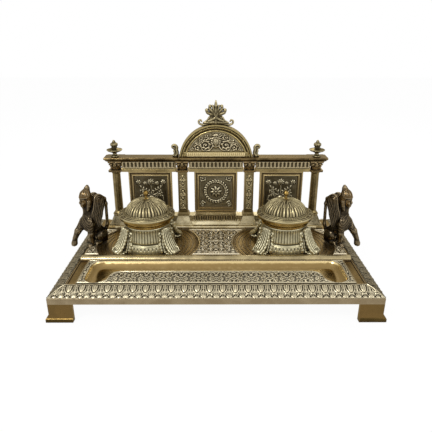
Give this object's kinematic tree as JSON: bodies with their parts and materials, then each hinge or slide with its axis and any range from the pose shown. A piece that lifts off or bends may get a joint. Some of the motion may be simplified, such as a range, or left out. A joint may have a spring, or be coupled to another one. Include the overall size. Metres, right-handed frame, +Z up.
{
  "type": "desk inkstand",
  "caption": "Cast brass desk inkstand: footed tray with a pen trough, lidded ink wells, a columned gallery with arched pediment, and winged figures.",
  "frame": {"origin": "on the desk under the middle of the inkstand's bounding box", "axes": "+X to the right along the front, +Y from the front to the gallery, +Z up"},
  "size_m": [0.3396, 0.203, 0.1937],
  "materials": {
    "aged_brass": "aged, worn bright on the relief",
    "polished_brass": "polished, lightly tarnished",
    "brown_brass": "brown patina",
    "dark_bronze": "dark patina, rubbed on the high spots",
    "grey_brass": "grey-brown patina",
    "fastener_brass": "plain turned",
    "porcelain": "white glaze"
  },
  "bodies": {
    "stand": {"tray": "aged_brass", "foot_front_left": "polished_brass", "foot_front_right": "polished_brass", "foot_back_left": "polished_brass", "foot_back_right": "polished_brass", "foot_screws": "fastener_brass", "well_body_left": "aged_brass", "well_body_right": "aged_brass", "collar_left": "polished_brass", "collar_right": "polished_brass", "ink_pot_left": "porcelain", "ink_pot_right": "porcelain", "hinge_pin_left": "fastener_brass", "hinge_pin_right": "fastener_brass", "well_bolts": "fastener_brass", "gallery_base": "aged_brass", "column_left": "brown_brass", "column_right": "brown_brass", "pilaster_left": "brown_brass", "pilaster_right": "brown_brass", "capital_outer_left": "dark_bronze", "capital_outer_right": "dark_bronze", "capital_inner_left": "dark_bronze", "capital_inner_right": "dark_bronze", "plaque_frame_left": "polished_brass", "plaque_frame_centre": "polished_brass", "plaque_frame_right": "polished_brass", "plaque_left": "grey_brass", "plaque_centre": "grey_brass", "plaque_right": "grey_brass", "entablature": "aged_brass", "arch": "polished_brass", "tympanum": "aged_brass", "palmette": "aged_brass", "side_scroll_left": "aged_brass", "side_scroll_right": "aged_brass", "urn_left": "aged_brass", "urn_right": "aged_brass", "outer_tie_rods": "fastener_brass", "inner_tie_rods": "fastener_brass", "figure_left": "dark_bronze", "figure_right": "dark_bronze", "deck_nuts": "fastener_brass"},
    "lid_left": {"lid_left": "aged_brass", "lid_knob_left": "polished_brass"},
    "lid_right": {"lid_right": "aged_brass", "lid_knob_right": "polished_brass"}
  },
  "joints": [
    {"name": "lid_left_hinge", "type": "hinge", "parent": "stand", "child": "lid_left", "pos_m": [-0.08, 0.0447, 0.0724], "axis": [-1, 0, 0], "range_deg": [0, 72]},
    {"name": "lid_right_hinge", "type": "hinge", "parent": "stand", "child": "lid_right", "pos_m": [0.08, 0.0447, 0.0724], "axis": [-1, 0, 0], "range_deg": [0, 72]}
  ]
}
